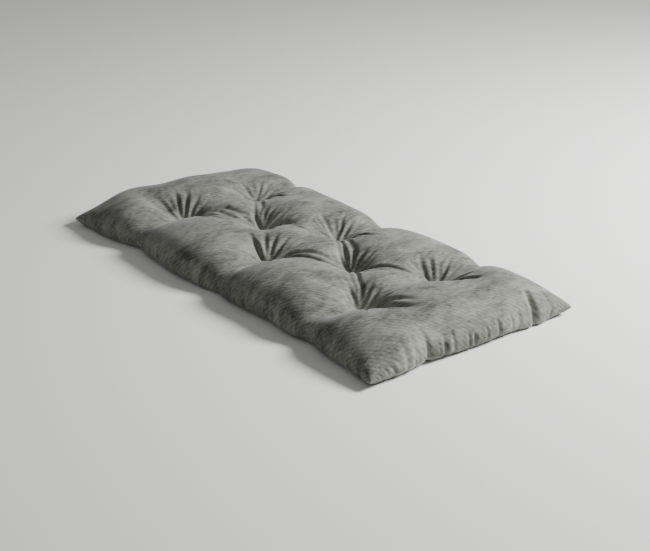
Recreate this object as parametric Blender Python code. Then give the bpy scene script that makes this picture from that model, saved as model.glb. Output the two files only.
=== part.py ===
"""Floor mattress: one filled cloth cushion with a knife-edge seam and eight tufts, lying on the floor.

Metres, +Z up. The origin is on the floor under the middle, with +X along the length and +Y across
the width, away from the near long side.
"""

import itertools
import math

import bpy
import numpy as np
from mathutils import Vector

# Finished size between the corner tips, and the heights above the floor
LENGTH = 1.20
WIDTH = 0.60
CROWN_HEIGHT = 0.0955       # fullest place between the tufts
SEAM_HEIGHT = 0.017         # seam along the sides
TIP_HEIGHT = 0.018          # corner tips
TUFT_HEIGHT = 0.030         # bottom of a tuft's pit
DIMPLE_HEIGHT = 0.016       # top of the hollow under a tuft

# How the filling meets the seam
NEAR_SHOULDER = 0.195       # width of the rise inside the near long side
FAR_SHOULDER = 0.170        # the same at the far long side
LEFT_SHOULDER = 0.245       # the same at the left end
RIGHT_SHOULDER = 0.200      # and at the right end
SHOULDER_FULLNESS = 2.15    # exponent of the rise: 2 is an ellipse, more is boxier
UNDER_SHOULDER = 0.055      # width of the rounding under the edge
SIDE_DRAW_IN = 0.022        # how far the seam is pulled in along a long side
END_DRAW_IN = 0.006         # the same at a short end
EAR_EXPONENT = 5            # how close to the tips the pull fades
EAR_REACH = 0.085           # how far a corner tip stays thin
EAR_THINNING = 0.15         # share of the fullness that is lost at a tip

# Tufts: outer rows of three, and a middle row of two set half a pitch between them
TUFT_PITCH = 0.355
ROW_OFFSET = 0.127
THROAT_RADIUS = 0.026       # steep wall of a pit
THROAT_EXPONENT = 1.6       # how sudden the wall is: 2 is a bell, less is more pointed
BASIN_RADIUS = 0.100        # wide hollow around it
BASIN_SHARE = 0.46          # part of a pit's depth that is in the wide hollow
DIMPLE_RADIUS = 0.075

# Valleys between neighbouring tufts
LINK_REACH = 0.75           # tufts closer than this share of a pitch are neighbours
LINK_SHARE = 0.20           # depth of a valley between tufts, as a share of the crown
LINK_WIDTH = 0.034
SIDE_LINK_WIDTH = 0.040
SIDE_BAY = 0.010            # how far a valley to the side pulls the seam in

TUFTS = {
    "near_left": (-TUFT_PITCH, -ROW_OFFSET),
    "near_middle": (0.0, -ROW_OFFSET),
    "near_right": (TUFT_PITCH, -ROW_OFFSET),
    "middle_left": (-TUFT_PITCH / 2, 0.0),
    "middle_right": (TUFT_PITCH / 2, 0.0),
    "far_left": (-TUFT_PITCH, ROW_OFFSET),
    "far_middle": (0.0, ROW_OFFSET),
    "far_right": (TUFT_PITCH, ROW_OFFSET),
}

# Shape of a fold along its length: narrow at the start, deepest about a third of the way out
FAN_WIDTH = 0.0075
START_NARROWING = 0.6
END_SPREAD = 0.9
DEEPEST_EARLY = 0.6

# Folds that fan out from each tuft. Columns: bearing from +X in degrees, reach, depth
FANS = {
    "near_left": [
        (172, 0.09, 0.015), (146, 0.12, 0.022), (124, 0.14, 0.020), (98, 0.10, 0.016), (36, 0.10, 0.013),
        (10, 0.18, 0.020), (-146, 0.11, 0.015), (-90, 0.08, 0.009), (-40, 0.09, 0.010),
    ],
    "near_middle": [
        (148, 0.10, 0.019), (122, 0.10, 0.019), (96, 0.09, 0.019), (71, 0.10, 0.021), (46, 0.09, 0.015),
        (12, 0.10, 0.015), (-125, 0.10, 0.011), (-80, 0.09, 0.013), (-30, 0.09, 0.010),
    ],
    "near_right": [
        (140, 0.10, 0.018), (117, 0.09, 0.019), (92, 0.09, 0.019), (66, 0.09, 0.016), (42, 0.10, 0.016),
        (12, 0.12, 0.015), (-120, 0.10, 0.013), (-74, 0.10, 0.013), (-28, 0.10, 0.013),
    ],
    "middle_left": [
        (128, 0.10, 0.018), (104, 0.08, 0.015), (78, 0.08, 0.015), (50, 0.10, 0.018), (-12, 0.09, 0.013),
        (-62, 0.08, 0.011), (-165, 0.09, 0.013),
    ],
    "middle_right": [
        (128, 0.09, 0.018), (102, 0.08, 0.016), (76, 0.07, 0.015), (50, 0.08, 0.015), (4, 0.12, 0.014),
        (-132, 0.09, 0.015), (-66, 0.08, 0.013),
    ],
    "far_left": [
        (180, 0.09, 0.019), (150, 0.08, 0.015), (122, 0.08, 0.016), (94, 0.07, 0.016), (56, 0.08, 0.015),
        (11, 0.12, 0.020), (-12, 0.09, 0.011), (-80, 0.08, 0.011), (-140, 0.10, 0.015),
    ],
    "far_middle": [
        (176, 0.09, 0.015), (148, 0.08, 0.015), (116, 0.08, 0.016), (86, 0.08, 0.016), (50, 0.08, 0.015),
        (9, 0.14, 0.022), (-12, 0.09, 0.011), (-80, 0.07, 0.011), (-140, 0.08, 0.015),
    ],
    "far_right": [
        (194, 0.09, 0.019), (160, 0.08, 0.018), (130, 0.07, 0.015), (104, 0.07, 0.015), (72, 0.10, 0.022),
        (46, 0.08, 0.014), (-6, 0.08, 0.011), (-48, 0.08, 0.011), (-110, 0.08, 0.013),
    ],
}

# Bent folds between tufts and at the seam. Columns: start, middle and end in plan, depth, width
BENT_FOLDS = [
    ((-0.345, -0.130), (-0.300, -0.030), (-0.214, 0.004), 0.012, 0.011),
    ((-0.340, 0.112), (-0.265, 0.058), (-0.192, 0.002), 0.010, 0.010),
    ((-0.183, 0.010), (-0.141, 0.045), (-0.080, 0.060), 0.014, 0.009),
    ((-0.175, 0.004), (-0.098, 0.028), (-0.020, 0.048), 0.010, 0.008),
    ((0.005, 0.126), (0.092, 0.064), (0.182, 0.004), 0.011, 0.010),
    ((0.005, -0.120), (0.080, -0.072), (0.176, -0.024), 0.014, 0.010),
    ((0.182, -0.002), (0.265, -0.066), (0.354, -0.124), 0.011, 0.010),
    ((0.185, 0.006), (0.260, 0.058), (0.350, 0.092), 0.014, 0.010),
    ((0.362, -0.122), (0.410, -0.092), (0.500, -0.074), 0.010, 0.010),
    ((0.358, 0.130), (0.407, 0.141), (0.460, 0.165), 0.011, 0.010),
    ((0.005, -0.127), (-0.040, -0.122), (-0.105, -0.095), 0.018, 0.011),
    ((0.350, -0.127), (0.315, -0.124), (0.270, -0.105), 0.016, 0.010),
    ((0.172, 0.002), (0.130, 0.012), (0.085, 0.038), 0.015, 0.010),
    ((-0.182, 0.002), (-0.225, 0.014), (-0.262, 0.040), 0.013, 0.010),
    ((0.350, 0.127), (0.315, 0.122), (0.270, 0.135), 0.013, 0.010),
    ((0.530, -0.132), (0.573, -0.119), (0.600, -0.128), 0.013, 0.008),
    ((0.550, -0.160), (0.581, -0.169), (0.598, -0.172), 0.009, 0.008),
    ((0.550, -0.198), (0.579, -0.201), (0.596, -0.197), 0.007, 0.008),
    ((0.550, 0.198), (0.588, 0.186), (0.602, 0.184), 0.014, 0.008),
    ((-0.530, 0.080), (-0.560, 0.088), (-0.594, 0.095), 0.008, 0.010),
    ((-0.520, -0.060), (-0.556, -0.068), (-0.594, -0.080), 0.008, 0.010),
]

# Valleys from the outer tufts to the long sides. Columns: tuft, x at the side, depth as a share of the crown
SIDE_LINKS = [
    ("near_left", -0.355, 0.40),
    ("near_middle", 0.000, 0.42),
    ("near_right", 0.355, 0.40),
    ("far_left", -0.360, 0.46),
    ("far_middle", 0.030, 0.36),
    ("far_right", 0.360, 0.34),
]

# Valleys from the outer tufts towards the ends. Columns: tuft, far end, depth as a share of the crown
END_LINK_WIDTH = 0.038
END_LINKS = [
    ("near_left", (-0.540, -0.165), 0.54),
    ("far_left", (-0.500, 0.135), 0.24),
    ("near_right", (0.520, -0.080), 0.28),
    ("far_right", (0.480, 0.165), 0.22),
]

# Places where the filling lies thinner, or thicker below 0. Columns: x, y, radius, share of the crown
SAGS = [
    (-0.470, 0.190, 0.090, 0.22),
    (-0.200, 0.220, 0.100, 0.10),
    (0.060, 0.215, 0.060, 0.12),
    (-0.550, -0.160, 0.080, -0.35),
    (-0.560, 0.000, 0.080, -0.12),
    (0.550, 0.200, 0.060, -0.20),
]

# Uneven filling: broad low lumps and hollows
SWELL_SEED = 5
SWELL_COUNT = 70
SWELL_RADII = (0.03, 0.06)
SWELL_HEIGHT = 0.0028

# Swells and bays of the seam. Columns: place along the side, width, how far in (less than 0 is out)
SEAM_BAYS = {
    "near": [
        (-0.46, 0.05, -0.006), (-0.33, 0.04, 0.006), (-0.14, 0.07, -0.008), (0.20, 0.05, 0.006),
        (0.38, 0.03, 0.004),
    ],
    "far": [
        (-0.06, 0.26, 0.020), (-0.20, 0.07, -0.004), (0.03, 0.03, 0.004), (0.18, 0.06, -0.004),
        (0.36, 0.03, 0.004),
    ],
    "right": [(-0.20, 0.04, -0.005), (-0.13, 0.025, 0.007), (0.05, 0.06, -0.004), (0.19, 0.05, -0.005)],
    "left": [(-0.17, 0.07, -0.006), (0.05, 0.06, -0.003), (0.17, 0.03, 0.004)],
}

# Where the seam hangs lower. Columns: place along the side, width, how far down
SEAM_DIPS = {
    "near": [(-0.50, 0.05, 0.010), (-0.20, 0.06, 0.008), (-0.03, 0.05, 0.012), (0.06, 0.03, 0.004)],
    "far": [],
    "right": [(-0.24, 0.03, 0.003), (-0.02, 0.05, 0.006), (0.19, 0.05, 0.012)],
    "left": [],
}

# Top grid: cells between the stations, which are the sides and the tuft lines. Every count is even,
# because the under panel uses every second line
END_CELLS = 46
PITCH_CELLS = 36
SIDE_CELLS = 34
ROW_CELLS = 26
GATHER = 0.25               # how much closer the grid lines lie next to a station
TRIANGLES = 11600           # what is left once the flatter parts of the grid are thinned out
LEVEL = 0.0002              # points this close together count as level, or as one

MATERIALS = {"mattress": ((0.128, 0.135, 0.118), 0.92)}


def remove_everything():
    for found in list(bpy.data.objects):
        bpy.data.objects.remove(found)


def grid_lines(stations, cells):
    """Line positions through the stations, closer together beside each one."""
    lines = [stations[0]]
    for start, end, count in zip(stations, stations[1:], cells):
        for step in range(1, count + 1):
            part = step / count
            part -= GATHER * math.sin(2 * math.pi * part) / (2 * math.pi)
            lines.append(start + (end - start) * part)
    return np.array(lines)


def quarter_rise(distance, width):
    """0 at the seam and 1 from width on, steep at first and level at the end."""
    part = np.clip(distance / width, 0.0, 1.0)
    return (1.0 - (1.0 - part) ** SHOULDER_FULLNESS) ** (1.0 / SHOULDER_FULLNESS)


def inside(x, y, side_width, end_width):
    """0 along the seam and 1 further in than the two widths."""
    return quarter_rise(WIDTH / 2 - np.abs(y), side_width) * quarter_rise(LENGTH / 2 - np.abs(x), end_width)


def segment_distance(x, y, start, end):
    """Distance to a segment, and how far along it the nearest point is, from 0 to 1."""
    along_x, along_y = end[0] - start[0], end[1] - start[1]
    part = ((x - start[0]) * along_x + (y - start[1]) * along_y) / (along_x ** 2 + along_y ** 2)
    part = np.clip(part, 0.0, 1.0)
    return np.hypot(x - start[0] - part * along_x, y - start[1] - part * along_y), part


def bend_distance(x, y, start, middle, end):
    """The same for a line that bends at its middle."""
    first, first_part = segment_distance(x, y, start, middle)
    second, second_part = segment_distance(x, y, middle, end)
    return np.minimum(first, second), np.where(first < second, first_part / 2, 0.5 + second_part / 2)


def bells(place, rows):
    """Sum of the bell shapes in a table's rows of place, width and size."""
    return sum((size * np.exp(-((place - centre) / width) ** 2) for centre, width, size in rows), 0.0)


def side_links():
    """Start, end and depth of each valley to a long side."""
    links = []
    for name, x, share in SIDE_LINKS:
        side = math.copysign(WIDTH / 2, TUFTS[name][1])
        links.append((TUFTS[name], (x, side), share))
    return links


def tuft_links():
    """Valleys between neighbouring tufts."""
    places = list(TUFTS.values())
    pairs = [(first, second) for index, first in enumerate(places) for second in places[index + 1:]]
    return [(first, second) for first, second in pairs if math.dist(first, second) < LINK_REACH * TUFT_PITCH]


def drawn_in(x, y):
    """Plan place of a point of the flat rectangle, once the filling has pulled the sides in."""
    along = 1.0 - np.abs(2 * x / LENGTH) ** EAR_EXPONENT
    across = 1.0 - np.abs(2 * y / WIDTH) ** EAR_EXPONENT
    at_tufts = bells(x, [(place, SIDE_LINK_WIDTH, SIDE_BAY) for place in (-TUFT_PITCH, 0.0, TUFT_PITCH)])
    side_bays = np.where(y < 0, bells(x, SEAM_BAYS["near"]), bells(x, SEAM_BAYS["far"]))
    end_bays = np.where(x < 0, bells(y, SEAM_BAYS["left"]), bells(y, SEAM_BAYS["right"]))
    pull_y = SIDE_DRAW_IN + at_tufts + side_bays
    pull_x = END_DRAW_IN + end_bays
    out_x = x * (1.0 - pull_x * across / (LENGTH / 2))
    out_y = y * (1.0 - pull_y * along / (WIDTH / 2))
    return out_x, out_y


def tip_distance(x, y):
    return np.hypot(LENGTH / 2 - np.abs(x), WIDTH / 2 - np.abs(y))


def seam_height(x, y):
    """Height of the seam beside this place, lower where it dips."""
    tip = (TIP_HEIGHT - SEAM_HEIGHT) * np.exp(-(tip_distance(x, y) / EAR_REACH) ** 2)
    to_end = np.maximum(LENGTH / 2 - np.abs(x), LEVEL)
    to_side = np.maximum(WIDTH / 2 - np.abs(y), LEVEL)
    end_share = to_side ** 2 / (to_side ** 2 + to_end ** 2)
    end_dip = np.where(x < 0, bells(y, SEAM_DIPS["left"]), bells(y, SEAM_DIPS["right"]))
    side_dip = np.where(y < 0, bells(x, SEAM_DIPS["near"]), bells(x, SEAM_DIPS["far"]))
    return SEAM_HEIGHT + tip - end_share * end_dip - (1.0 - end_share) * side_dip


def fullness(x, y):
    """Share of the crown that the filling reaches: 0 at the seam and the tufts, 1 at the fullest place."""
    side_shoulder = np.where(y < 0, NEAR_SHOULDER, FAR_SHOULDER)
    end_shoulder = np.where(x < 0, LEFT_SHOULDER, RIGHT_SHOULDER)
    full = inside(x, y, side_shoulder, end_shoulder)
    full = full * (1.0 - EAR_THINNING * np.exp(-(tip_distance(x, y) / EAR_REACH) ** 2))
    for start, end in tuft_links():
        across, _ = segment_distance(x, y, start, end)
        full = full * (1.0 - LINK_SHARE * np.exp(-(across / LINK_WIDTH) ** 2))
    for start, end, share in side_links():
        across, _ = segment_distance(x, y, start, end)
        full = full * (1.0 - share * np.exp(-(across / SIDE_LINK_WIDTH) ** 2))
    for name, end, share in END_LINKS:
        across, part = segment_distance(x, y, TUFTS[name], end)
        full = full * (1.0 - share * (1.0 - part ** 2) * np.exp(-(across / END_LINK_WIDTH) ** 2))
    for sag_x, sag_y, sag_radius, share in SAGS:
        full = full * (1.0 - share * np.exp(-((x - sag_x) ** 2 + (y - sag_y) ** 2) / sag_radius ** 2))
    for tuft_x, tuft_y in TUFTS.values():
        radius = np.hypot(x - tuft_x, y - tuft_y)
        throat = (1.0 - BASIN_SHARE) * np.exp(-(radius / THROAT_RADIUS) ** THROAT_EXPONENT)
        basin = BASIN_SHARE * np.exp(-(radius / BASIN_RADIUS) ** 2)
        full = full * (1.0 - throat - basin)
    return np.clip(full, 0.0, 1.0)


def trough(across, part, depth, width):
    """A soft trough along a line, from the distance across it and the part of the way along it."""
    spread = width * (START_NARROWING + END_SPREAD * part)
    return depth * np.sin(math.pi * part ** DEEPEST_EARLY) * np.exp(-(across / spread) ** 2)


def fold_depth(x, y):
    """Troughs of all the folds."""
    depth = np.zeros_like(x)
    for name, fan in FANS.items():
        tuft_x, tuft_y = TUFTS[name]
        for bearing, reach, deep in fan:
            angle = math.radians(bearing)
            end = (tuft_x + reach * math.cos(angle), tuft_y + reach * math.sin(angle))
            depth += trough(*segment_distance(x, y, (tuft_x, tuft_y), end), deep, FAN_WIDTH)
    for start, middle, end, deep, width in BENT_FOLDS:
        depth += trough(*bend_distance(x, y, start, middle, end), deep, width)
    return depth


def soft_swells(x, y):
    """Broad low lumps and hollows at seeded places."""
    dice = np.random.default_rng(SWELL_SEED)
    height = np.zeros_like(x)
    for _ in range(SWELL_COUNT):
        centre_x = dice.uniform(-LENGTH / 2, LENGTH / 2)
        centre_y = dice.uniform(-WIDTH / 2, WIDTH / 2)
        radius = dice.uniform(*SWELL_RADII)
        rise = dice.uniform(-SWELL_HEIGHT, SWELL_HEIGHT)
        height += rise * np.exp(-((x - centre_x) ** 2 + (y - centre_y) ** 2) / radius ** 2)
    return height


def top_height(x, y):
    full = fullness(x, y)
    seam = seam_height(x, y)
    pit_floor = seam + (TUFT_HEIGHT - seam) * inside(x, y, ROW_OFFSET, RIGHT_SHOULDER)
    plain = pit_floor + (CROWN_HEIGHT - pit_floor) * full
    return plain + (soft_swells(x, y) - fold_depth(x, y)) * np.sqrt(full)


def under_height(x, y):
    """Flat on the floor, rounded up to the seam, with a shallow hollow under each tuft."""
    height = seam_height(x, y) * (1.0 - inside(x, y, UNDER_SHOULDER, UNDER_SHOULDER))
    for tuft_x, tuft_y in TUFTS.values():
        radius = np.hypot(x - tuft_x, y - tuft_y)
        height = height + DIMPLE_HEIGHT * np.clip(1.0 - (radius / DIMPLE_RADIUS) ** 2, 0.0, 1.0) ** 2
    return height


def flat_grid():
    """Points of the flat rectangle that the top panel is raised from."""
    along = [-LENGTH / 2, -TUFT_PITCH, -TUFT_PITCH / 2, 0.0, TUFT_PITCH / 2, TUFT_PITCH, LENGTH / 2]
    across = [-WIDTH / 2, -ROW_OFFSET, 0.0, ROW_OFFSET, WIDTH / 2]
    xs = grid_lines(along, [END_CELLS] + 4 * [PITCH_CELLS] + [END_CELLS])
    ys = grid_lines(across, [SIDE_CELLS, ROW_CELLS, ROW_CELLS, SIDE_CELLS])
    return np.meshgrid(xs, ys, indexing="ij")


def mattress_mesh():
    """Closed mesh: a fine top panel and a coarser under panel, sewn together point by point at the seam.

    The top's cells are split along the diagonal that runs from the nearest tip.
    """
    x, y = flat_grid()
    columns, rows = x.shape
    plan_x, plan_y = drawn_in(x, y)
    top_z = top_height(x, y)
    under_z = under_height(x, y)
    points = np.stack([plan_x, plan_y, top_z], axis=-1).reshape(-1, 3).tolist()
    top = np.arange(columns * rows).reshape(columns, rows)
    under = np.full((columns, rows), -1)
    border = np.ones((columns, rows), bool)
    border[1:-1, 1:-1] = False
    under[border] = top[border]
    for i in range(2, columns - 1, 2):
        for j in range(2, rows - 1, 2):
            under[i, j] = len(points)
            points.append((plan_x[i, j], plan_y[i, j], under_z[i, j]))
    faces = []
    for i in range(columns - 1):
        for j in range(rows - 1):
            corners = [top[i, j], top[i + 1, j], top[i + 1, j + 1], top[i, j + 1]]
            if (i < columns // 2) != (j < rows // 2):
                corners = corners[1:] + corners[:1]
            faces.append((corners[0], corners[1], corners[2]))
            faces.append((corners[0], corners[2], corners[3]))
    ring = [(0, 0), (0, 1), (0, 2), (1, 2), (2, 2), (2, 1), (2, 0), (1, 0)]
    for i in range(0, columns - 1, 2):
        for j in range(0, rows - 1, 2):
            corners = [under[i + step_i, j + step_j] for step_i, step_j in ring]
            faces.append([corner for corner in corners if corner >= 0])
    mesh = bpy.data.meshes.new("mattress_grid")
    mesh.from_pydata(points, [], faces)
    mesh.update()
    return mesh


def thinned(mesh):
    """The same closed surface with fewer triangles, which stay close together where it is folded."""
    grid = bpy.data.objects.new("mattress_grid", mesh)
    bpy.context.scene.collection.objects.link(grid)
    thinning = grid.modifiers.new("thinning", "DECIMATE")
    thinning.use_collapse_triangulate = True
    thinning.ratio = TRIANGLES / sum(len(face.vertices) - 2 for face in mesh.polygons)
    thin = bpy.data.meshes.new_from_object(grid.evaluated_get(bpy.context.evaluated_depsgraph_get()))
    bpy.data.objects.remove(grid)
    for vertex in thin.vertices:
        if vertex.co.z < LEVEL:
            vertex.co.z = 0.0
    for tip in itertools.product((-LENGTH / 2, LENGTH / 2), (-WIDTH / 2, WIDTH / 2)):
        tip_point = Vector((*tip, TIP_HEIGHT))
        nearest = min(thin.vertices, key=lambda vertex: (vertex.co - tip_point).length)
        nearest.co = tip_point
    thin.name = "mattress"
    thin.shade_smooth()
    return thin


def cloth_material(name):
    colour, roughness = MATERIALS[name]
    material = bpy.data.materials.new(name + "_cloth")
    material.use_nodes = True
    shader = material.node_tree.nodes["Principled BSDF"]
    shader.inputs["Base Color"].default_value = (*colour, 1.0)
    shader.inputs["Roughness"].default_value = roughness
    shader.inputs["Metallic"].default_value = 0.0
    return material


def add_mattress():
    mesh = thinned(mattress_mesh())
    mesh.materials.append(cloth_material("mattress"))
    mattress = bpy.data.objects.new("mattress", mesh)
    bpy.context.scene.collection.objects.link(mattress)


remove_everything()
add_mattress()
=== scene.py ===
"""Floor mattress in brushed chenille, on a pale floor.

The cover is two panels sewn round a loose filling and tied through at eight tufts. Its top is raised
from the same sizes as the solid, with folds drawn in from tables round the tufts and between them,
and then settled as cloth on the filling, given the cloth's real fullness round the tufts and along
the seam, where the spare cloth can fold further.
"""

import math

import bpy
import numpy as np
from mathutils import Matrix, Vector


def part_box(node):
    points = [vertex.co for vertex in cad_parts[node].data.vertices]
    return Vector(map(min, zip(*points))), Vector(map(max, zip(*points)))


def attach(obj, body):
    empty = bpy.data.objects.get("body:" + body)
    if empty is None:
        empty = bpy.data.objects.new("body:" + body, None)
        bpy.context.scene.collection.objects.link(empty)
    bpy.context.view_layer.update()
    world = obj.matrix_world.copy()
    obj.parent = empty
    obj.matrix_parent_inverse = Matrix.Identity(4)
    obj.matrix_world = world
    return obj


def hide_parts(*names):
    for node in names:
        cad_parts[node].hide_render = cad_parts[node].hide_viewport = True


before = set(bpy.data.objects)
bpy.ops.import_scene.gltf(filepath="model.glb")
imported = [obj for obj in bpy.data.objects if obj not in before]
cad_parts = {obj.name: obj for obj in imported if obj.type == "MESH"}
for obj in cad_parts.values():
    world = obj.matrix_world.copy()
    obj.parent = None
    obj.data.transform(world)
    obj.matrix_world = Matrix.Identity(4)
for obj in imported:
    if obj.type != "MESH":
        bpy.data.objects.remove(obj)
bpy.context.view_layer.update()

solid_low, solid_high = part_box("mattress")

# Finished size, read from the solid
LENGTH = solid_high.x - solid_low.x
WIDTH = solid_high.y - solid_low.y
FULL_CROWN_RISE = 0.0049     # how far a crown with no valley or pit near it would stand above the solid
CROWN_HEIGHT = solid_high.z + FULL_CROWN_RISE
SEAM_HEIGHT = 0.017          # seam along the sides
TIP_HEIGHT = 0.018           # corner tips
TUFT_HEIGHT = 0.030          # bottom of a tuft's pit
DIMPLE_HEIGHT = 0.016        # top of the hollow under a tuft

# How the filling meets the seam
NEAR_SHOULDER = 0.195        # width of the rise inside the near long side
FAR_SHOULDER = 0.170         # the same at the far long side
LEFT_SHOULDER = 0.245        # the same at the left end
RIGHT_SHOULDER = 0.200       # and at the right end
SHOULDER_FULLNESS = 2.15     # exponent of the rise: 2 is an ellipse, more is boxier
UNDER_SHOULDER = 0.030       # width of the rounding under the edge
SIDE_DRAW_IN = 0.022         # how far the seam is pulled in along a long side
END_DRAW_IN = 0.006          # the same at a short end
EAR_EXPONENT = 5             # how close to the tips the pull fades
EAR_REACH = 0.085            # how far a corner tip stays thin
EAR_THINNING = 0.15          # share of the fullness that is lost at a tip

# Tufts: outer rows of three, and a middle row of two set half a pitch between them
TUFT_PITCH = 0.355
ROW_OFFSET = 0.127
THROAT_RADIUS = 0.026        # steep wall of a pit
THROAT_EXPONENT = 1.6        # how sudden the wall is: 2 is a bell, less is more pointed
BASIN_RADIUS = 0.100         # wide hollow around it
BASIN_SHARE = 0.46           # part of a pit's depth that is in the wide hollow
DIMPLE_RADIUS = 0.075
LINK_REACH = 0.75            # tufts closer than this share of a pitch are neighbours
LINK_SHARE = 0.20            # depth of a valley between tufts, as a share of the crown
LINK_WIDTH = 0.034
SIDE_LINK_WIDTH = 0.040
SIDE_BAY = 0.010             # how far a valley to the side pulls the seam in

TUFTS = {
    "near_left": (-TUFT_PITCH, -ROW_OFFSET),
    "near_middle": (0.0, -ROW_OFFSET),
    "near_right": (TUFT_PITCH, -ROW_OFFSET),
    "middle_left": (-TUFT_PITCH / 2, 0.0),
    "middle_right": (TUFT_PITCH / 2, 0.0),
    "far_left": (-TUFT_PITCH, ROW_OFFSET),
    "far_middle": (0.0, ROW_OFFSET),
    "far_right": (TUFT_PITCH, ROW_OFFSET),
}

# How a fold runs along its line
START_NARROWING = 0.6        # width where it starts, as a share
END_SPREAD = 0.9             # how much wider it is at its end
DEEPEST_EARLY = 0.6          # 1 is deepest halfway along, less is deepest nearer the start
BOTTOM_ROUNDING = 1e-7       # squared radius of the bottom of a bent fold

# Folds that fan out from each tuft. Columns: bearing from +X in degrees, reach, depth
FAN_WIDTH = 0.0055
FANS = {
    "near_left": [
        (170, 0.10, 0.008), (157, 0.12, 0.010), (139, 0.12, 0.010), (118, 0.10, 0.008), (98, 0.09, 0.008),
        (78, 0.08, 0.007), (36, 0.10, 0.009), (14, 0.18, 0.013), (2, 0.14, 0.009), (184, 0.14, 0.006),
        (196, 0.15, 0.007), (207, 0.14, 0.006), (219, 0.13, 0.006), (234, 0.10, 0.006), (-90, 0.08, 0.005),
        (-40, 0.09, 0.006),
    ],
    "near_middle": [
        (165, 0.14, 0.012), (143, 0.13, 0.011), (126, 0.11, 0.010), (107, 0.10, 0.010), (90, 0.08, 0.005),
        (72, 0.10, 0.010), (52, 0.11, 0.009), (34, 0.12, 0.011), (12, 0.10, 0.009), (-125, 0.10, 0.007),
        (-80, 0.09, 0.007), (-30, 0.09, 0.006),
    ],
    "near_right": [
        (159, 0.12, 0.012), (148, 0.11, 0.011), (136, 0.09, 0.010), (121, 0.08, 0.010), (102, 0.08, 0.010),
        (85, 0.08, 0.008), (68, 0.08, 0.009), (52, 0.09, 0.009), (36, 0.10, 0.011), (23, 0.14, 0.012),
        (8, 0.12, 0.009), (-120, 0.10, 0.007), (-74, 0.10, 0.008), (-28, 0.10, 0.008),
    ],
    "middle_left": [
        (162, 0.10, 0.006), (148, 0.10, 0.008), (133, 0.10, 0.008), (118, 0.09, 0.008), (100, 0.08, 0.006),
        (80, 0.08, 0.006), (60, 0.09, 0.007), (44, 0.11, 0.008), (31, 0.13, 0.008), (18, 0.15, 0.008),
        (-12, 0.09, 0.005), (-62, 0.08, 0.004), (-165, 0.09, 0.005),
    ],
    "middle_right": [
        (168, 0.08, 0.008), (150, 0.12, 0.011), (132, 0.11, 0.012), (110, 0.08, 0.011), (90, 0.08, 0.008),
        (71, 0.07, 0.008), (52, 0.08, 0.008), (36, 0.10, 0.010), (22, 0.18, 0.012), (8, 0.13, 0.009),
        (-10, 0.10, 0.007), (-132, 0.09, 0.008), (-66, 0.08, 0.007),
    ],
    "far_left": [
        (180, 0.09, 0.011), (160, 0.08, 0.010), (140, 0.08, 0.008), (120, 0.08, 0.010), (99, 0.07, 0.011),
        (78, 0.07, 0.008), (56, 0.08, 0.009), (34, 0.09, 0.008), (11, 0.12, 0.012), (-8, 0.09, 0.007),
        (-80, 0.08, 0.006), (-140, 0.10, 0.009),
    ],
    "far_middle": [
        (176, 0.09, 0.009), (154, 0.07, 0.010), (132, 0.08, 0.008), (108, 0.08, 0.011), (86, 0.08, 0.010),
        (62, 0.07, 0.008), (40, 0.08, 0.008), (9, 0.14, 0.014), (-10, 0.09, 0.007), (-80, 0.07, 0.007),
        (-140, 0.08, 0.009),
    ],
    "far_right": [
        (194, 0.09, 0.011), (176, 0.07, 0.008), (157, 0.08, 0.011), (136, 0.07, 0.009), (116, 0.07, 0.011),
        (94, 0.07, 0.008), (72, 0.10, 0.016), (46, 0.08, 0.009), (19, 0.11, 0.012), (0, 0.08, 0.007),
        (-48, 0.08, 0.006), (-110, 0.08, 0.007),
    ],
}

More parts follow.
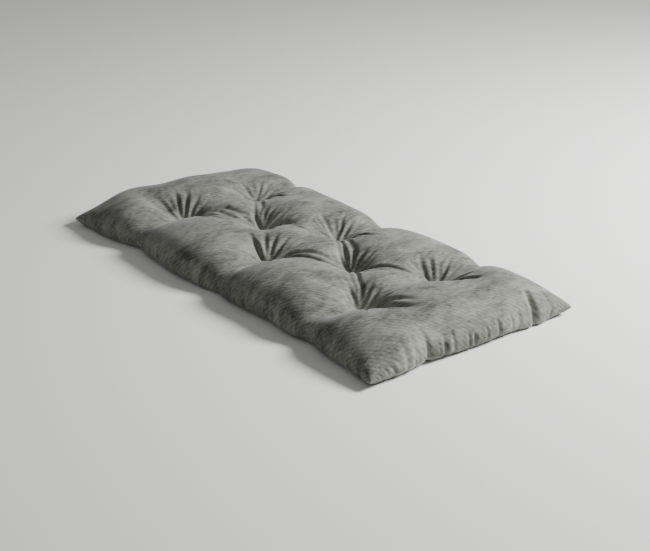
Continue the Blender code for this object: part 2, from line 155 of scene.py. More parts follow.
# Bent folds between tufts and at the right end. Columns: start, middle and end in plan, depth, width
BENT_FOLDS = [
    ((-0.345, -0.130), (-0.300, -0.030), (-0.214, 0.004), 0.012, 0.009),
    ((-0.350, 0.128), (-0.268, 0.074), (-0.192, 0.012), 0.006, 0.006),
    ((-0.330, 0.095), (-0.262, 0.040), (-0.190, -0.010), 0.005, 0.006),
    ((-0.183, 0.010), (-0.141, 0.045), (-0.080, 0.060), 0.012, 0.007),
    ((-0.175, 0.004), (-0.098, 0.030), (-0.020, 0.050), 0.010, 0.006),
    ((0.008, 0.138), (0.096, 0.076), (0.186, 0.016), 0.006, 0.006),
    ((0.000, 0.118), (0.088, 0.054), (0.176, -0.004), 0.006, 0.006),
    ((0.020, 0.090), (0.088, 0.036), (0.160, -0.012), 0.007, 0.006),
    ((0.005, -0.120), (0.080, -0.072), (0.176, -0.024), 0.018, 0.0075),
    ((0.004, -0.106), (0.070, -0.046), (0.150, -0.010), 0.008, 0.006),
    ((0.020, -0.140), (0.090, -0.095), (0.165, -0.050), 0.007, 0.006),
    ((0.186, 0.008), (0.270, -0.058), (0.362, -0.118), 0.006, 0.006),
    ((0.176, -0.012), (0.260, -0.075), (0.346, -0.130), 0.005, 0.006),
    ((0.185, 0.006), (0.260, 0.058), (0.350, 0.092), 0.014, 0.007),
    ((0.362, -0.122), (0.410, -0.092), (0.500, -0.074), 0.009, 0.008),
    ((0.372, -0.108), (0.412, -0.070), (0.478, -0.050), 0.006, 0.006),
    ((0.375, -0.135), (0.420, -0.112), (0.490, -0.100), 0.005, 0.006),
    ((-0.330, -0.070), (-0.268, -0.050), (-0.205, -0.028), 0.007, 0.006),
    ((0.358, 0.130), (0.407, 0.141), (0.460, 0.165), 0.010, 0.007),
    ((0.005, -0.127), (-0.040, -0.122), (-0.105, -0.095), 0.020, 0.010),
    ((0.002, -0.135), (0.024, -0.185), (0.024, -0.250), 0.016, 0.0070),
    ((0.357, -0.135), (0.373, -0.190), (0.352, -0.245), 0.014, 0.0070),
    ((-0.353, -0.135), (-0.337, -0.190), (-0.337, -0.245), 0.013, 0.0070),
    ((0.350, -0.127), (0.315, -0.124), (0.270, -0.105), 0.018, 0.009),
    ((0.172, 0.002), (0.130, 0.012), (0.085, 0.038), 0.016, 0.009),
    ((-0.182, 0.002), (-0.225, 0.014), (-0.262, 0.040), 0.014, 0.008),
    ((0.350, 0.127), (0.315, 0.122), (0.270, 0.135), 0.014, 0.008),
    ((0.550, 0.194), (0.588, 0.186), (0.602, 0.184), 0.008, 0.008),
    ((0.570, 0.235), (0.590, 0.238), (0.602, 0.240), 0.008, 0.005),
]

# Valleys from the outer tufts to the long sides. Columns: tuft, x at the side, share of the crown
SIDE_LINKS = [
    ("near_left", -0.338, 0.42),
    ("near_middle", 0.022, 0.44),
    ("near_right", 0.350, 0.42),
    ("far_left", -0.360, 0.46),
    ("far_middle", 0.030, 0.36),
    ("far_right", 0.360, 0.34),
]

# Valleys from the outer tufts towards the ends. Columns: tuft, far end, share of the crown
END_LINK_WIDTH = 0.038
END_LINKS = [
    ("near_left", (-0.540, -0.165), 0.50),
    ("far_left", (-0.500, 0.135), 0.24),
    ("near_right", (0.520, -0.080), 0.28),
    ("far_right", (0.480, 0.165), 0.22),
]

# Places where the filling lies thinner, or thicker below 0. Columns: x, y, radius, share of the crown
SAGS = [
    (-0.470, 0.190, 0.090, 0.22),
    (-0.200, 0.220, 0.100, 0.10),
    (0.060, 0.215, 0.060, 0.12),
    (-0.550, -0.160, 0.080, -0.35),
    (-0.560, 0.000, 0.080, -0.12),
    (0.550, 0.200, 0.060, -0.20),
    (0.580, -0.090, 0.035, 0.16),
    (0.575, -0.180, 0.045, -0.10),
]

# Swells and bays of the seam. Columns: place along the side, width, how far in (less than 0 is out)
SEAM_BAYS = {
    "near": [
        (-0.46, 0.05, -0.006), (-0.33, 0.04, 0.006), (-0.14, 0.07, -0.008), (0.20, 0.05, 0.006),
        (0.38, 0.03, 0.004),
    ],
    "far": [
        (-0.06, 0.26, 0.020), (-0.20, 0.07, -0.004), (0.03, 0.03, 0.004), (0.18, 0.06, -0.004),
        (0.36, 0.03, 0.004),
    ],
    "right": [(-0.20, 0.04, -0.005), (-0.13, 0.025, 0.007), (0.05, 0.06, -0.004), (0.19, 0.05, -0.005)],
    "left": [(-0.17, 0.07, -0.006), (0.05, 0.06, -0.003), (0.17, 0.03, 0.004)],
}

# Where the seam hangs lower. Columns: place along the side, width, how far down
SEAM_DIPS = {
    "near": [(-0.50, 0.05, 0.010), (-0.20, 0.06, 0.008), (-0.03, 0.05, 0.012), (0.06, 0.03, 0.004)],
    "far": [],
    "right": [(-0.24, 0.03, 0.003), (-0.02, 0.05, 0.006), (0.19, 0.05, 0.012)],
    "left": [],
}

# Creases up from the seam. Columns: place along the side, reach, shift at the top, depth, width
SEAM_CREASES = {
    "near": [(-0.345, 0.030, 0.004, 0.004, 0.006), (0.012, 0.030, 0.006, 0.004, 0.006)],
    "far": [(0.345, 0.030, 0.000, 0.004, 0.006)],
    "right": [
        (-0.128, 0.060, 0.002, 0.009, 0.0060), (-0.172, 0.055, 0.012, 0.0065, 0.0060),
        (-0.197, 0.050, 0.002, 0.0055, 0.0060), (0.180, 0.055, 0.008, 0.016, 0.0085),
        (-0.085, 0.022, 0.003, 0.005, 0.0060), (-0.060, 0.026, 0.002, 0.006, 0.0050),
        (0.070, 0.018, -0.002, 0.004, 0.0050), (0.135, 0.018, 0.002, 0.004, 0.0050),
    ],
    "left": [(0.095, 0.030, -0.006, 0.004, 0.006)],
}
CREASE_FOOT = 0.35           # depth at the seam itself, as a share
CREASE_FOOT_WIDTH = 1.2      # width at the seam, as a share
CREASE_NARROWING = 0.6       # how much of that share is lost on the way up
CREASE_STEEP = 0.45          # width of the steep side, the one towards -X or -Y, as a share
CREASE_GENTLE = 1.3          # width of the gentle side, the one towards +X or +Y, as a share

# Small puckers between them, at seeded places
PUCKER_SEED = 21
PUCKER_PITCH = 0.030         # how far apart they are on average
PUCKER_REACH = (0.004, 0.016)
PUCKER_DEPTH = (0.001, 0.0040)
PUCKER_WIDTH = (0.0025, 0.0050)
PUCKER_FREE_TIP = 0.040      # none this close to a tip

# Cloth
CLOTH_CELL = 0.0034          # spacing of the threads that are followed
SHOULDER_THREADS = 0.6       # half the threads over a shoulder, as a share of its width in cells
TUFT_FULLNESS = 0.16         # spare cloth round a tuft, as a share of the way round
TUFT_FULLNESS_REACH = 0.075
SEAM_FULLNESS = 0.07         # spare cloth along the seam where it is gathered most
SEAM_FULLNESS_REACH = 0.011
GATHER_PITCH = 0.025         # how fast the gathering changes along the seam
GATHER_SEED = 3
SLANTED_STIFFNESS = 0.3      # how firmly the cloth keeps from being pulled askew

# How the cloth settles on the filling
SETTLE_STEPS = 120
SETTLE_PASSES = 10
FOLD_SEED = 11
FIRST_RUFFLE = 0.0004        # seeded unevenness that the folds start from
HELD_REACH = 0.8             # threads this close to a tuft are held, in cells
FILLING_PUSH = 0.00006       # push outwards in each step
FILLING_HOLD = 0.02          # share of the way back to the filling in each step
SPEED_KEPT = 0.90            # share of the movement that goes on into the next step
FASTEST_STEP = 0.001
FOLDING_STIFFNESS = 0.04     # how firmly the cloth keeps from folding sharply
SEAM_HOLD = 0.25             # share of the way back to its place that the seam is moved
LOWEST_TOP = 0.002           # the top panel stays this far above the floor

# Cloth colours, and where on the scale of shades they lie
PILE_DARK, PILE_DARK_SHADE = "3f413a", 0.335
PILE_LIGHT, PILE_LIGHT_SHADE = "888a80", 0.775
SHADE_LOWERED = 0.445        # taken off the sum of the patterns, to bring it onto that scale

# Uneven patterns of the pile. Columns: mm across the brushing, mm along it, detail, distortion
PILE_PATTERNS = {
    "patches": (70.0, 110.0, 3.0, 0.6),
    "brush_marks": (22.0, 38.0, 3.0, 0.6),
    "streaks": (6.0, 34.0, 2.0, 0.0),
    "flecks": (6.0, 14.0, 1.0, 0.0),
}

# Flecks and cords are drawn coarser than the real ones, which can't be seen from this distance
CORD_PITCH = 9.5             # mm; about 2 mm on the real cloth
CORD_SLANT = 45.0            # flecks and cords cross the panel at this angle, in degrees
WAVE_PITCH = 3.183           # the wave texture repeats this often in one unit at scale 1

# How much each pattern adds to the shade and to the relief
SHADE_SHARES = {
    # painted light and shade: slopes that face +X drawn lighter, those that face -X darker
    "painted_end_light": 0.10,
    "patches": 0.75,
    "brush_marks": 0.46,
    "streaks": 0.36,
    "flecks": 0.32,
    "cords": 0.08,
}
CORD_RELIEF = 0.10
RELIEF_SHARES = {"streaks": 0.24, "flecks": 0.22, "brush_marks": 0.30}

# Places painted darker or lighter: painted shade on slopes and in creases that the light leaves dark,
# painted light on lit crowns and edges, and partly pile brushed the other way. Columns: x, y, radius,
# shade (below 0 is darker)
PAINTED_SHADE_AND_BRUSHED_PLACES = [
    (-0.460, -0.020, 0.120, -0.030),
    (-0.530, -0.080, 0.070, -0.100),
    (-0.490, -0.240, 0.055, -0.100),
    (-0.430, -0.170, 0.045, 0.100),
    (-0.120, -0.262, 0.060, -0.085),
    (-0.165, 0.020, 0.055, 0.130),
    (0.370, -0.100, 0.050, 0.080),
    (-0.050, -0.175, 0.060, 0.130),
    (0.307, -0.214, 0.040, -0.120),
    (0.420, -0.265, 0.065, -0.070),
    (0.050, -0.240, 0.045, -0.110),
    (0.160, -0.262, 0.070, -0.070),
    (0.210, 0.190, 0.070, 0.120),
    (0.535, 0.000, 0.100, -0.040),
    (0.587, 0.244, 0.040, -0.020),
    (0.596, -0.108, 0.016, -0.120),
    (0.599, -0.070, 0.012, -0.060),
    (0.596, 0.206, 0.016, -0.090),
]

# Uneven filling
SWELL_SEED = 5
SWELL_COUNT = 70
SWELL_RADII = (0.03, 0.06)
SWELL_HEIGHT = 0.0028

# Camera and light
CAMERA_AZIMUTH = 51.4
CAMERA_ELEVATION = 23.1
CAMERA_DISTANCE = 3.50
CAMERA_TARGET = (0.075, 0.002, 0.0)
CAMERA_LENS = 80.1
CAMERA_SENSOR = 36.0
KEY_LIGHT_PLACE = (1.36, 2.29, 1.78)
KEY_LIGHT_SIZE = 1.10
KEY_LIGHT_POWER = 238.0
SKY_STRENGTH = 0.260
FLOOR_COLOUR = "f4f4f2"
FLOOR_HALF = 6.0


def quarter_rise(distance, width):
    """0 at the seam and 1 from width on, steep at first and level at the end."""
    part = np.clip(distance / width, 0.0, 1.0)
    return (1.0 - (1.0 - part) ** SHOULDER_FULLNESS) ** (1.0 / SHOULDER_FULLNESS)


def inside(x, y, side_width, end_width):
    """0 at the seam and 1 from these widths on, at the sides and the ends."""
    from_sides = quarter_rise(WIDTH / 2 - np.abs(y), side_width)
    return from_sides * quarter_rise(LENGTH / 2 - np.abs(x), end_width)


def segment_distance(x, y, start, end):
    """Distance to a segment, and how far along it the nearest point is, from 0 to 1."""
    along_x, along_y = end[0] - start[0], end[1] - start[1]
    part = ((x - start[0]) * along_x + (y - start[1]) * along_y) / (along_x ** 2 + along_y ** 2)
    part = np.clip(part, 0.0, 1.0)
    return np.hypot(x - start[0] - part * along_x, y - start[1] - part * along_y), part


def bend_distance(x, y, start, middle, end):
    """The same for a line that bends through its middle, with a rounded bottom."""
    first, first_part = segment_distance(x, y, start, middle)
    second, second_part = segment_distance(x, y, middle, end)
    nearer = first < second
    rounded = np.sqrt(np.minimum(first, second) ** 2 + BOTTOM_ROUNDING)
    return rounded, np.where(nearer, first_part / 2, 0.5 + second_part / 2)


def bells(place, rows):
    """Sum of the bell shapes in a table's rows of place, width and size."""
    return sum((size * np.exp(-((place - centre) / width) ** 2) for centre, width, size in rows), 0.0)


def side_links():
    """Start, end and depth of each valley to a long side."""
    links = []
    for name, x, share in SIDE_LINKS:
        side = math.copysign(WIDTH / 2, TUFTS[name][1])
        links.append((TUFTS[name], (x, side), share))
    return links


def tuft_links():
    """Valleys between neighbouring tufts."""
    places = list(TUFTS.values())
    pairs = [(first, second) for index, first in enumerate(places) for second in places[index + 1:]]
    return [pair for pair in pairs if math.dist(*pair) < LINK_REACH * TUFT_PITCH]


def drawn_in(x, y):
    """Plan place of a point of the flat rectangle, once the filling has pulled the sides in."""
    along = 1.0 - np.abs(2 * x / LENGTH) ** EAR_EXPONENT
    across = 1.0 - np.abs(2 * y / WIDTH) ** EAR_EXPONENT
    at_tufts = bells(x, [(place, SIDE_LINK_WIDTH, 1.0) for place in (-TUFT_PITCH, 0.0, TUFT_PITCH)])
    side_bays = np.where(y < 0, bells(x, SEAM_BAYS["near"]), bells(x, SEAM_BAYS["far"]))
    end_bays = np.where(x < 0, bells(y, SEAM_BAYS["left"]), bells(y, SEAM_BAYS["right"]))
    pull_y = SIDE_DRAW_IN + SIDE_BAY * at_tufts + side_bays
    pull_x = END_DRAW_IN + end_bays
    return x * (1.0 - pull_x * across / (LENGTH / 2)), y * (1.0 - pull_y * along / (WIDTH / 2))


def tip_distance(x, y):
    return np.hypot(LENGTH / 2 - np.abs(x), WIDTH / 2 - np.abs(y))


def seam_height(x, y):
    """Height of the seam beside this place, lower where it dips."""
    tip = (TIP_HEIGHT - SEAM_HEIGHT) * np.exp(-(tip_distance(x, y) / EAR_REACH) ** 2)
    to_end, to_side = LENGTH / 2 - np.abs(x), WIDTH / 2 - np.abs(y)
    end_share = to_side ** 2 / (to_side ** 2 + to_end ** 2 + 1e-9)
    end_dip = np.where(x < 0, bells(y, SEAM_DIPS["left"]), bells(y, SEAM_DIPS["right"]))
    side_dip = np.where(y < 0, bells(x, SEAM_DIPS["near"]), bells(x, SEAM_DIPS["far"]))
    return SEAM_HEIGHT + tip - end_share * end_dip - (1.0 - end_share) * side_dip


def fullness(x, y):
    """Share of the crown that the filling reaches: 0 at the seam and the tufts, 1 where it is fullest."""
    side_shoulder = np.where(y < 0, NEAR_SHOULDER, FAR_SHOULDER)
    end_shoulder = np.where(x < 0, LEFT_SHOULDER, RIGHT_SHOULDER)
    full = inside(x, y, side_shoulder, end_shoulder)
    full = full * (1.0 - EAR_THINNING * np.exp(-(tip_distance(x, y) / EAR_REACH) ** 2))
    for start, end in tuft_links():
        across, _ = segment_distance(x, y, start, end)
        full = full * (1.0 - LINK_SHARE * np.exp(-(across / LINK_WIDTH) ** 2))
    for start, end, share in side_links():
        across, _ = segment_distance(x, y, start, end)
        full = full * (1.0 - share * np.exp(-(across / SIDE_LINK_WIDTH) ** 2))
    for name, end, share in END_LINKS:
        across, part = segment_distance(x, y, TUFTS[name], end)
        full = full * (1.0 - share * (1.0 - part ** 2) * np.exp(-(across / END_LINK_WIDTH) ** 2))
    for sag_x, sag_y, sag_radius, share in SAGS:
        full = full * (1.0 - share * np.exp(-((x - sag_x) ** 2 + (y - sag_y) ** 2) / sag_radius ** 2))
    for tuft_x, tuft_y in TUFTS.values():
        radius = np.hypot(x - tuft_x, y - tuft_y)
        throat = (1.0 - BASIN_SHARE) * np.exp(-(radius / THROAT_RADIUS) ** THROAT_EXPONENT)
        full = full * (1.0 - throat - BASIN_SHARE * np.exp(-(radius / BASIN_RADIUS) ** 2))
    return np.clip(full, 0.0, 1.0)


def trough(across, part, depth, width):
    """A soft trough along a line, from the distance across it and the part of the way along it."""
    spread = width * (START_NARROWING + END_SPREAD * part)
    return depth * np.sin(math.pi * part ** DEEPEST_EARLY) * np.exp(-(across / spread) ** 2)


def fold_depth(x, y):
    """Troughs of all the folds."""
    depth = np.zeros_like(x)
    for name, fan in FANS.items():
        tuft_x, tuft_y = TUFTS[name]
        for bearing, reach, deep in fan:
            angle = math.radians(bearing)
            end = (tuft_x + reach * math.cos(angle), tuft_y + reach * math.sin(angle))
            depth += trough(*segment_distance(x, y, (tuft_x, tuft_y), end), deep, FAN_WIDTH)
    for start, middle, end, deep, width in BENT_FOLDS:
        depth += trough(*bend_distance(x, y, start, middle, end), deep, width)
    return depth


def soft_swells(x, y):
    """Uneven filling: broad low lumps and hollows at seeded places."""
    dice = np.random.default_rng(SWELL_SEED)
    height = np.zeros_like(x)
    for _ in range(SWELL_COUNT):
        centre_x = dice.uniform(-LENGTH / 2, LENGTH / 2)
        centre_y = dice.uniform(-WIDTH / 2, WIDTH / 2)
        radius = dice.uniform(*SWELL_RADII)
        rise = dice.uniform(-SWELL_HEIGHT, SWELL_HEIGHT)
        height += rise * np.exp(-((x - centre_x) ** 2 + (y - centre_y) ** 2) / radius ** 2)
    return height


def top_height(x, y):
    """Height of the top on the filling, before the cloth settles."""
    full = fullness(x, y)
    seam = seam_height(x, y)
    pit_floor = seam + (TUFT_HEIGHT - seam) * inside(x, y, ROW_OFFSET, RIGHT_SHOULDER)
    plain = pit_floor + (CROWN_HEIGHT - pit_floor) * full
    return plain + (soft_swells(x, y) - fold_depth(x, y)) * np.sqrt(full)


def under_height(x, y):
    """Flat on the floor, rounded up to the seam, with a shallow hollow under each tuft."""
    height = seam_height(x, y) * (1.0 - inside(x, y, UNDER_SHOULDER, UNDER_SHOULDER))
    for tuft_x, tuft_y in TUFTS.values():
        radius = np.hypot(x - tuft_x, y - tuft_y)
        height = height + DIMPLE_HEIGHT * np.clip(1.0 - (radius / DIMPLE_RADIUS) ** 2, 0.0, 1.0) ** 2
    return height


def thread_lines(size, shoulder):
    """Places of the followed threads, evenly spaced over the rounded shoulders and between them."""
    shoulder_count = 2 * round(SHOULDER_THREADS * shoulder / CLOTH_CELL)
    angles = np.linspace(0.0, math.pi / 2, shoulder_count + 1)
    rising = size / 2 - shoulder * (1.0 - np.cos(angles))
    flat_count = 2 * round((size / 2 - shoulder) / CLOTH_CELL)
    level = np.linspace(-(size / 2 - shoulder), size / 2 - shoulder, flat_count + 1)
    return np.concatenate([-rising[:-1], level, rising[:-1][::-1]])


def lengths(first, second):
    return np.sqrt(((second - first) ** 2).sum(-1))


def puckers(size, seed):
    """Small creases at seeded places along a side, in the columns of the crease table."""
    dice = np.random.default_rng(seed)
    rows = []
    for _ in range(round(size / PUCKER_PITCH)):
        place = dice.uniform(PUCKER_FREE_TIP - size / 2, size / 2 - PUCKER_FREE_TIP)
        reach = dice.uniform(*PUCKER_REACH)
        depth = dice.uniform(*PUCKER_DEPTH)
        rows.append((place, reach, 0.0, depth, dice.uniform(*PUCKER_WIDTH)))
    return rows


def pinched(place, inward, rows):
    """How far the wall beside the seam is pushed in by the creases in these rows."""
    depth = np.zeros_like(place)
    for at, reach, shift, deep, width in rows:
        rise = np.clip(inward / reach, 0.0, 1.0)
        profile = (1.0 - rise) * (CREASE_FOOT + (2.0 - 2.0 * CREASE_FOOT) * np.sqrt(rise))
        across = place - at - shift * rise
        side_share = np.where(across < 0, CREASE_STEEP, CREASE_GENTLE)
        spread = width * (CREASE_FOOT_WIDTH - CREASE_NARROWING * rise) * side_share
        depth += deep * profile * np.exp(-(across / spread) ** 2)
    return depth


def creased(x, y, plan_x, plan_y):
    """Plan places with the walls pushed in at the creases along the seam."""
    to_end, to_side = LENGTH / 2 - np.abs(x), WIDTH / 2 - np.abs(y)
    push = {}
    for order, side in enumerate(("near", "far", "left", "right")):
        place, inward, size = (x, to_side, LENGTH) if side in ("near", "far") else (y, to_end, WIDTH)
        push[side] = pinched(place, inward, SEAM_CREASES[side] + puckers(size, PUCKER_SEED + order))
    plan_x = plan_x - np.sign(x) * np.where(x < 0, push["left"], push["right"])
    plan_y = plan_y - np.sign(y) * np.where(y < 0, push["near"], push["far"])
    return plan_x, plan_y


def gathering(place, seed):
    """How much the seam is gathered along a side, from 0 to 1, uneven and mostly low."""
    dice = np.random.default_rng(seed)
    knots = np.arange(-LENGTH / 2, LENGTH / 2 + GATHER_PITCH, GATHER_PITCH)
    return np.interp(place, knots, dice.random(len(knots)) ** 2)


def spare_cloth(x, y, step_x, step_y):
    """How much longer than the surface a thread is, where it runs round a tuft or along the seam."""
    squared = step_x ** 2 + step_y ** 2 + 1e-12
    spare = np.zeros_like(x)
    for tuft_x, tuft_y in TUFTS.values():
        out_x, out_y = x - tuft_x, y - tuft_y
        radius_squared = out_x ** 2 + out_y ** 2 + 1e-6
        round_share = (out_x * step_y - out_y * step_x) ** 2 / (radius_squared * squared)
        spare += TUFT_FULLNESS * round_share * np.exp(-radius_squared / TUFT_FULLNESS_REACH ** 2)
    to_side = WIDTH / 2 - np.abs(y)
    to_end = LENGTH / 2 - np.abs(x)
    side_gathering = np.where(y < 0, gathering(x, GATHER_SEED), gathering(x, GATHER_SEED + 1))
    end_gathering = np.where(x < 0, gathering(y, GATHER_SEED + 2), gathering(y, GATHER_SEED + 3))
    side_spare = SEAM_FULLNESS * side_gathering * np.exp(-(to_side / SEAM_FULLNESS_REACH) ** 2)
    end_spare = SEAM_FULLNESS * end_gathering * np.exp(-(to_end / SEAM_FULLNESS_REACH) ** 2)
    return 1.0 + spare + (side_spare * step_x ** 2 + end_spare * step_y ** 2) / squared


def pull(first, second, rest, stiffness, only_apart=False):
    """Moves both ends of each thread piece towards its rest length."""
    gap = second - first
    length = np.sqrt(np.einsum("...i,...i", gap, gap)) + 1e-9
    change = (length - rest) / length
    if only_apart:
        change = np.minimum(change, 0.0)
    gap *= (0.5 * stiffness * change)[..., None]
    first += gap
    second -= gap


class Cloth:
    """A panel of cloth on a grid of threads, with its rest lengths."""

    def __init__(self, points, x, y):
        self.points = points
        pairs = {
            "along": (np.s_[:-1, :], np.s_[1:, :]),
            "across": (np.s_[:, :-1], np.s_[:, 1:]),
            "rising": (np.s_[:-1, :-1], np.s_[1:, 1:]),
            "falling": (np.s_[:-1, 1:], np.s_[1:, :-1]),
        }
        self.rest = {}
        for name, (a, b) in pairs.items():
            spare = spare_cloth((x[a] + x[b]) / 2, (y[a] + y[b]) / 2, x[b] - x[a], y[b] - y[a])
            self.rest[name] = (lengths(points[a], points[b]) * spare).astype(np.float32)

    def hold_lengths(self, passes, bend):
        p = self.points
        along, across = self.rest["along"], self.rest["across"]
        rising, falling = self.rest["rising"], self.rest["falling"]
        for _ in range(passes):
            for s in (0, 1):
                pull(p[s:-1:2], p[s + 1::2], along[s::2], 1.0)
            for s in (0, 1):
                pull(p[:, s:-1:2], p[:, s + 1::2], across[:, s::2], 1.0)
            for s in (0, 1):
                pull(p[s:-1:2, :-1], p[s + 1::2, 1:], rising[s::2], SLANTED_STIFFNESS)
                pull(p[s:-1:2, 1:], p[s + 1::2, :-1], falling[s::2], SLANTED_STIFFNESS)
            for s in range(4):
                self.stiffen(p, along, s, bend)
                self.stiffen(p.transpose(1, 0, 2), across.T, s, bend)

    @staticmethod
    def stiffen(p, rest, start, bend):
        """Holds points two threads apart from folding together."""
        first, second = p[start:-2:4], p[start + 2::4]
        count = min(len(first), len(second))
        two = rest[start:-1:4][:count] + rest[start + 1::4][:count]
        pull(first[:count], second[:count], two, bend, only_apart=True)


def surface_normals(points):
    along = np.gradient(points, axis=0)
    across = np.gradient(points, axis=1)
    normal = np.cross(along, across)
    return normal / (np.linalg.norm(normal, axis=-1, keepdims=True) + 1e-12)


def settle(points, x, y):
    """Lets the top panel settle on the filling, held at the seam and the tufts."""
    start = points.copy()
    start_normal = surface_normals(start)
    cloth = Cloth(points, x, y)
    dice = np.random.default_rng(FOLD_SEED)
    ruffle = dice.normal(0.0, FIRST_RUFFLE, points.shape[:2])
    points += start_normal * ruffle[..., None].astype(np.float32)
    held = np.zeros(points.shape[:2], bool)
    for tuft_x, tuft_y in TUFTS.values():
        held |= np.hypot(x - tuft_x, y - tuft_y) < HELD_REACH * CLOTH_CELL
    border = np.zeros_like(held)
    border[[0, -1], :] = True
    border[:, [0, -1]] = True
    moved = np.zeros_like(points)
    for _ in range(SETTLE_STEPS):
        normal = surface_normals(points)
        off = ((points - start) * start_normal).sum(-1, keepdims=True)
        moved += normal * FILLING_PUSH - start_normal * off * FILLING_HOLD
        moved *= SPEED_KEPT
        before = points.copy()
        points += moved
        cloth.hold_lengths(SETTLE_PASSES, FOLDING_STIFFNESS)
        points[held] = start[held]
        points[border] += SEAM_HOLD * (start[border] - points[border])
        points[..., 2] = np.maximum(points[..., 2], LOWEST_TOP)
        moved = points - before
        speed = np.linalg.norm(moved, axis=-1, keepdims=True)
        moved *= np.minimum(1.0, FASTEST_STEP / (speed + 1e-9))
    return points


def thread_lengths(points, axis):
    """How far along its thread each point lies, in metres of cloth from the middle."""
    pieces = np.linalg.norm(np.diff(points, axis=axis), axis=-1)
    pieces = pieces.mean(axis=1 - axis, keepdims=True) * np.ones_like(pieces)
    shape = list(pieces.shape)
    shape[axis] = 1
    run = np.concatenate([np.zeros(shape), np.cumsum(pieces, axis=axis)], axis=axis)
    return run - run.max() / 2


def painted_light_and_brushed_tone(x, y):
    """Painted shade and painted light at this place, partly pile brushed the other way: how much darker or
    lighter the cloth is drawn here.
    """
    return sum(shade * np.exp(-((x - place_x) ** 2 + (y - place_y) ** 2) / radius ** 2)
               for place_x, place_y, radius, shade in PAINTED_SHADE_AND_BRUSHED_PLACES)


def top_and_under(grid, inner):
    """Values at the points of the top, followed by those at the inner points of the underside."""
    return np.concatenate([grid.reshape(-1, *grid.shape[2:]), grid[inner]])


def cover_mesh():
    """Closed mesh of the cover: the settled top, and a coarser underside sewn to it along the seam."""
    xs = thread_lines(LENGTH, RIGHT_SHOULDER)
    ys = thread_lines(WIDTH, FAR_SHOULDER)
    x, y = np.meshgrid(xs, ys, indexing="ij")
    columns, rows = x.shape
    plan_x, plan_y = creased(x, y, *drawn_in(x, y))
    points = np.stack([plan_x, plan_y, top_height(x, y)], axis=-1).astype(np.float32)
    points = settle(points, x, y)
    under_points = np.stack([plan_x, plan_y, under_height(x, y)], axis=-1)
    vertices = points.reshape(-1, 3).tolist()
    top = np.arange(columns * rows).reshape(columns, rows)
    under = np.full((columns, rows), -1)
    border = np.ones((columns, rows), bool)
    border[1:-1, 1:-1] = False
    under[border] = top[border]
    inner = np.zeros((columns, rows), bool)
    inner[2:-1:2, 2:-1:2] = True
    under[inner] = np.arange(inner.sum()) + len(vertices)
    vertices += under_points[inner].tolist()
    cells = np.stack([top[:-1, :-1], top[1:, :-1], top[1:, 1:], top[:-1, 1:]], axis=-1)
    faces = cells.reshape(-1, 4).tolist()
    ring = [(0, 0), (0, 1), (0, 2), (1, 2), (2, 2), (2, 1), (2, 0), (1, 0)]
    for i in range(0, columns - 1, 2):
        for j in range(0, rows - 1, 2):
            corners = [int(under[i + step_i, j + step_j]) for step_i, step_j in ring]
            faces.append([corner for corner in corners if corner >= 0])
    mesh = bpy.data.meshes.new("mattress_cover")
    mesh.from_pydata(vertices, [], faces)
    mesh.update()
    mesh.shade_smooth()
    # Painted shade and painted light of the listed places, partly brushed pile, kept at each point for the
    # cloth's shader
    tone_painted_and_brushed = mesh.attributes.new("painted_light_and_brushed_tone", "FLOAT", "POINT")
    tones = painted_light_and_brushed_tone(top_and_under(x, inner), top_and_under(y, inner))
    tone_painted_and_brushed.data.foreach_set("value", tones.astype(np.float32))
    cloth_places = np.stack([thread_lengths(points, 0), thread_lengths(points, 1)], axis=-1)
    corners = np.empty(len(mesh.loops), dtype=np.int32)
    mesh.loops.foreach_get("vertex_index", corners)
    weave = mesh.uv_layers.new(name="cloth_metres")
    weave.data.foreach_set("uv", top_and_under(cloth_places, inner)[corners].astype(np.float32).ravel())
    return mesh


def linear(hex_colour):
    """sRGB hex colour as linear red, green and blue."""
    channels = [int(hex_colour[i:i + 2], 16) / 255 for i in (0, 2, 4)]
    return tuple(c / 12.92 if c <= 0.04045 else ((c + 0.055) / 1.055) ** 2.4 for c in channels)


def add_node(tree, kind, settings=None, links=None):
    """Adds a node, sets its properties and inputs, and links its inputs to other nodes' outputs."""
    node = tree.nodes.new(kind)
    for name, value in (settings or {}).items():
        if isinstance(name, str) and hasattr(node, name):
            setattr(node, name, value)
        else:
            node.inputs[name].default_value = value
    for name, output in (links or {}).items():
        tree.links.new(output, node.inputs[name])
    return node


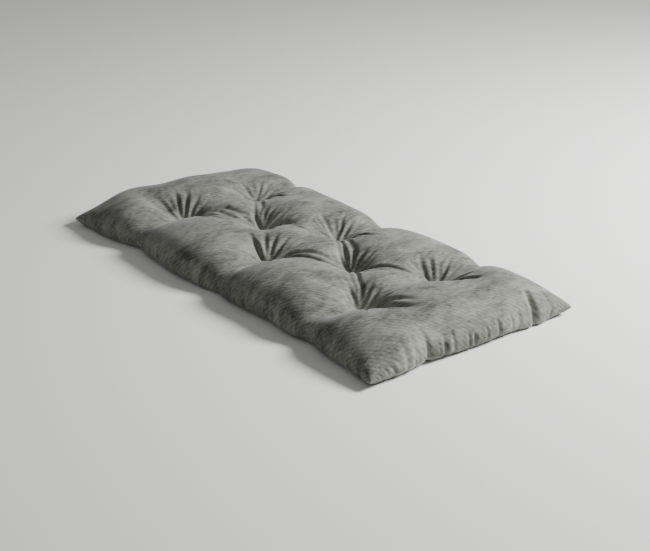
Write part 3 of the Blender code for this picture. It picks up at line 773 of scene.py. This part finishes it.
def brushed_chenille():
    """Polyester chenille: a short dense pile on fine slanting cords, brushed along the width.

    The pile scatters light, so it is matt, with a soft sheen where it is seen from the side. Where it
    lies one way it looks lighter than where it lies the other, which gives the brushed patches, marks
    and streaks, and the flecks on the cords. Painted light and shade are added to this tone: slopes that
    face +X are drawn lighter and those that face -X darker, and listed places are drawn darker or lighter.
    """
    material = bpy.data.materials.new("brushed_chenille")
    material.use_nodes = True
    tree = material.node_tree
    shader = tree.nodes["Principled BSDF"]
    cloth = add_node(tree, "ShaderNodeUVMap", {"uv_map": "cloth_metres"}).outputs["UV"]

    turn = (0.0, 0.0, math.radians(CORD_SLANT))
    slanted = add_node(tree, "ShaderNodeMapping", {"Rotation": turn}, {"Vector": cloth}).outputs["Vector"]

    patterns = {}
    for name, (across, along, detail, distortion) in PILE_PATTERNS.items():
        start = slanted if name == "flecks" else cloth
        scale = (1000 / across, 1000 / along, 1.0)
        place = add_node(tree, "ShaderNodeMapping", {"Scale": scale}, {"Vector": start}).outputs["Vector"]
        patterns[name] = add_node(
            tree, "ShaderNodeTexNoise",
            {"Scale": 1.0, "Detail": detail, "Roughness": 0.6, "Distortion": distortion},
            {"Vector": place}).outputs["Fac"]
    cord_scale = 1000 / (CORD_PITCH * WAVE_PITCH)
    patterns["cords"] = add_node(
        tree, "ShaderNodeTexWave",
        {"Scale": cord_scale, "Distortion": 1.6, "Detail": 2.0, "Detail Scale": 1.2},
        {"Vector": slanted}).outputs["Fac"]
    # Painted light and shade: the shade rises on slopes that face +X and falls on those that face -X
    facing = add_node(tree, "ShaderNodeTexCoord").outputs["Normal"]
    patterns["painted_end_light"] = add_node(tree, "ShaderNodeSeparateXYZ", {}, {"Vector": facing}).outputs["X"]

    def layered(total, shares):
        """Adds each of these patterns to the total, times its share."""
        for name, share in shares.items():
            settings = {"operation": "MULTIPLY_ADD", 1: share}
            links = {0: patterns[name], 2: total}
            total = add_node(tree, "ShaderNodeMath", settings, links).outputs["Value"]
        return total

    # Painted shade and painted light of the listed places, partly brushed pile, added into the cloth's
    # shade
    tone_painted_and_brushed = add_node(tree, "ShaderNodeAttribute", {"attribute_name": "painted_light_and_brushed_tone"}).outputs["Fac"]
    shade = layered(tone_painted_and_brushed, SHADE_SHARES)
    lowered = {"operation": "SUBTRACT", 1: SHADE_LOWERED}
    shade = add_node(tree, "ShaderNodeMath", lowered, {0: shade}).outputs["Value"]
    ramp = add_node(tree, "ShaderNodeValToRGB", {}, {"Fac": shade})
    ends = ((PILE_DARK, PILE_DARK_SHADE), (PILE_LIGHT, PILE_LIGHT_SHADE))
    for element, (colour, position) in zip(ramp.color_ramp.elements, ends):
        element.position = position
        element.color = (*linear(colour), 1.0)
    tree.links.new(ramp.outputs["Color"], shader.inputs["Base Color"])
    shader.inputs["Roughness"].default_value = 0.9
    shader.inputs["Sheen Weight"].default_value = 0.20
    shader.inputs["Sheen Roughness"].default_value = 0.4

    low = {"operation": "MULTIPLY", 1: CORD_RELIEF}
    cord_relief = add_node(tree, "ShaderNodeMath", low, {0: patterns["cords"]}).outputs["Value"]
    relief = layered(cord_relief, RELIEF_SHARES)
    bump = add_node(tree, "ShaderNodeBump", {"Strength": 0.8, "Distance": 0.0012}, {"Height": relief})
    tree.links.new(bump.outputs["Normal"], shader.inputs["Normal"])
    return material


def add_cover():
    mesh = cover_mesh()
    mesh.materials.append(brushed_chenille())
    cover = bpy.data.objects.new("mattress_cover", mesh)
    bpy.context.scene.collection.objects.link(cover)
    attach(cover, "root")
    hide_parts("mattress")


def add_floor():
    mesh = bpy.data.meshes.new("floor")
    corners = [(FLOOR_HALF * x, FLOOR_HALF * y, 0) for x, y in ((-1, -1), (1, -1), (1, 1), (-1, 1))]
    mesh.from_pydata(corners, [], [(0, 1, 2, 3)])
    material = bpy.data.materials.new("pale_floor")
    material.use_nodes = True
    shader = material.node_tree.nodes["Principled BSDF"]
    shader.inputs["Base Color"].default_value = (*linear(FLOOR_COLOUR), 1.0)
    shader.inputs["Roughness"].default_value = 0.8
    mesh.materials.append(material)
    floor = bpy.data.objects.new("floor", mesh)
    bpy.context.scene.collection.objects.link(floor)


def add_area_light(name, place, size, power):
    light = bpy.data.lights.new(name, "AREA")
    light.shape = "DISK"
    light.size = size
    light.energy = power
    lamp = bpy.data.objects.new(name, light)
    lamp.location = place
    lamp.rotation_mode = "QUATERNION"
    lamp.rotation_quaternion = (-Vector(place)).to_track_quat("-Z", "Y")
    bpy.context.scene.collection.objects.link(lamp)


def add_lights():
    add_area_light("key_light", KEY_LIGHT_PLACE, KEY_LIGHT_SIZE, KEY_LIGHT_POWER)
    world = bpy.data.worlds.new("studio")
    bpy.context.scene.world = world
    world.use_nodes = True
    background = world.node_tree.nodes["Background"]
    background.inputs["Color"].default_value = (1.0, 1.0, 1.0, 1.0)
    background.inputs["Strength"].default_value = SKY_STRENGTH


def add_camera():
    azimuth, elevation = math.radians(CAMERA_AZIMUTH), math.radians(CAMERA_ELEVATION)
    back = Vector((
        math.sin(azimuth) * math.cos(elevation),
        -math.cos(azimuth) * math.cos(elevation),
        math.sin(elevation),
    ))
    data = bpy.data.cameras.new("camera")
    data.sensor_width = CAMERA_SENSOR
    data.lens = CAMERA_LENS
    camera = bpy.data.objects.new("camera", data)
    camera.location = Vector(CAMERA_TARGET) + back * CAMERA_DISTANCE
    camera.rotation_mode = "QUATERNION"
    camera.rotation_quaternion = (-back).to_track_quat("-Z", "Y")
    bpy.context.scene.collection.objects.link(camera)
    bpy.context.scene.camera = camera


add_camera()
add_floor()
add_lights()
add_cover()
